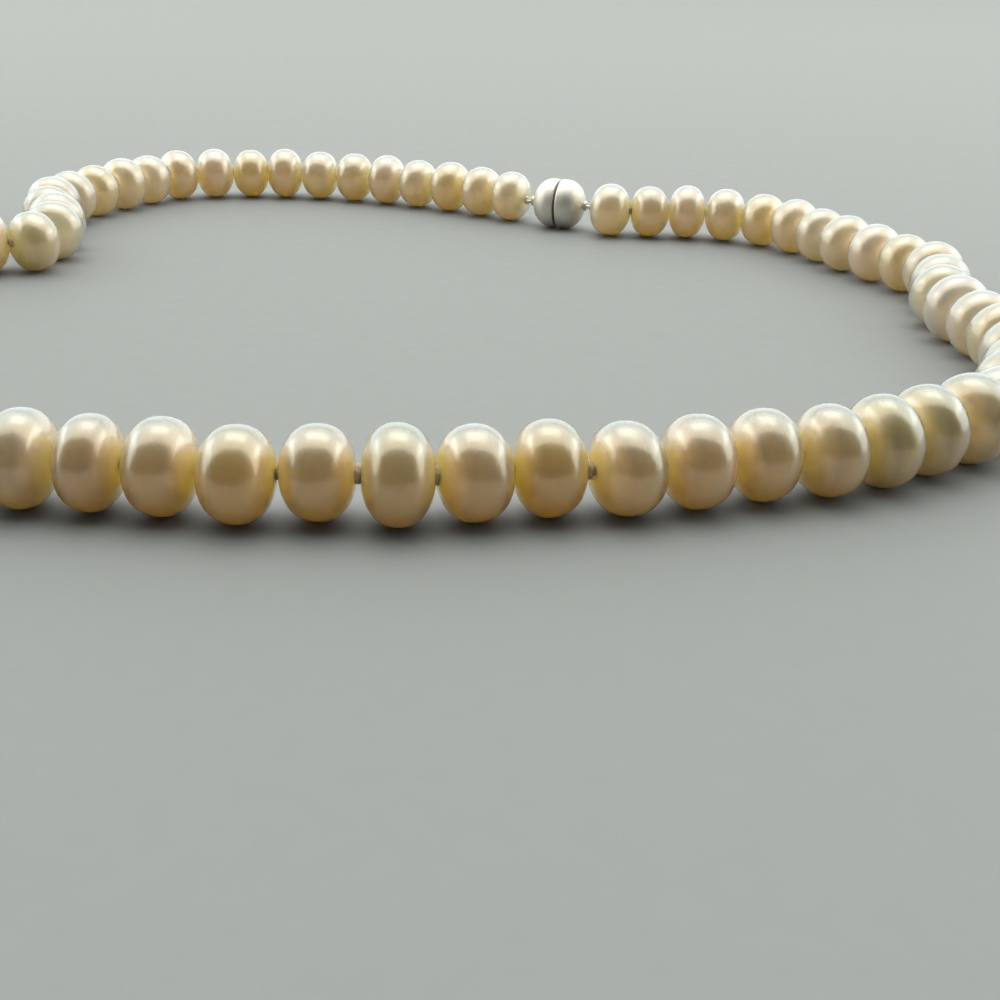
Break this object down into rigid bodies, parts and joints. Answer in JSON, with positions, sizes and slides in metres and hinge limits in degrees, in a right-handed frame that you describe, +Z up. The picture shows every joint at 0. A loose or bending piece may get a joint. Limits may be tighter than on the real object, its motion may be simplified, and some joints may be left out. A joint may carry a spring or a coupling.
{
  "type": "freshwater pearl necklace",
  "caption": "Closed loop of oblate pearls on knotted silk thread, fastened by a silver magnetic ball clasp, lying loosely on a surface.",
  "frame": {"origin": "on the surface that the necklace lies on, under the middle of its box", "axes": "+Z up from the surface; -Y towards the front row of pearls; +Y towards the clasp; +X along the loop's longer way"},
  "size_m": [0.1368, 0.129, 0.0078],
  "materials": {
    "nacre_cream": "gloss",
    "nacre_golden": "gloss",
    "nacre_peach": "gloss",
    "silver": "satin"
  },
  "bodies": {
    "root": {"pearl_01": "nacre_golden", "pearl_02": "nacre_peach", "pearl_03": "nacre_cream", "pearl_04": "nacre_golden", "pearl_05": "nacre_peach", "pearl_06": "nacre_cream", "pearl_07": "nacre_golden", "pearl_08": "nacre_peach", "pearl_09": "nacre_cream", "pearl_10": "nacre_golden", "pearl_11": "nacre_peach", "pearl_12": "nacre_cream", "pearl_13": "nacre_golden", "pearl_14": "nacre_peach", "pearl_15": "nacre_cream", "pearl_16": "nacre_golden", "pearl_17": "nacre_peach", "pearl_18": "nacre_cream", "pearl_19": "nacre_golden", "pearl_20": "nacre_peach", "pearl_21": "nacre_cream", "pearl_22": "nacre_golden", "pearl_23": "nacre_peach", "pearl_24": "nacre_cream", "pearl_25": "nacre_golden", "pearl_26": "nacre_peach", "pearl_27": "nacre_cream", "pearl_28": "nacre_golden", "pearl_29": "nacre_peach", "pearl_30": "nacre_cream", "pearl_31": "nacre_golden", "pearl_32": "nacre_peach", "pearl_33": "nacre_cream", "pearl_34": "nacre_golden", "pearl_35": "nacre_peach", "pearl_36": "nacre_cream", "pearl_37": "nacre_golden", "pearl_38": "nacre_peach", "pearl_39": "nacre_cream", "pearl_40": "nacre_golden", "pearls_41_43": "nacre_golden", "pearls_44_46": "nacre_golden", "pearls_47_49": "nacre_golden", "pearls_50_52": "nacre_golden", "pearls_53_55": "nacre_golden", "pearls_56_58": "nacre_golden", "pearls_59_61": "nacre_golden", "pearls_62_64": "nacre_golden", "pearls_65_67": "nacre_golden", "pearls_68_70": "nacre_golden", "pearls_71_73": "nacre_golden", "clasp_half_right": "silver", "clasp_half_left": "silver"}
  },
  "joints": []
}
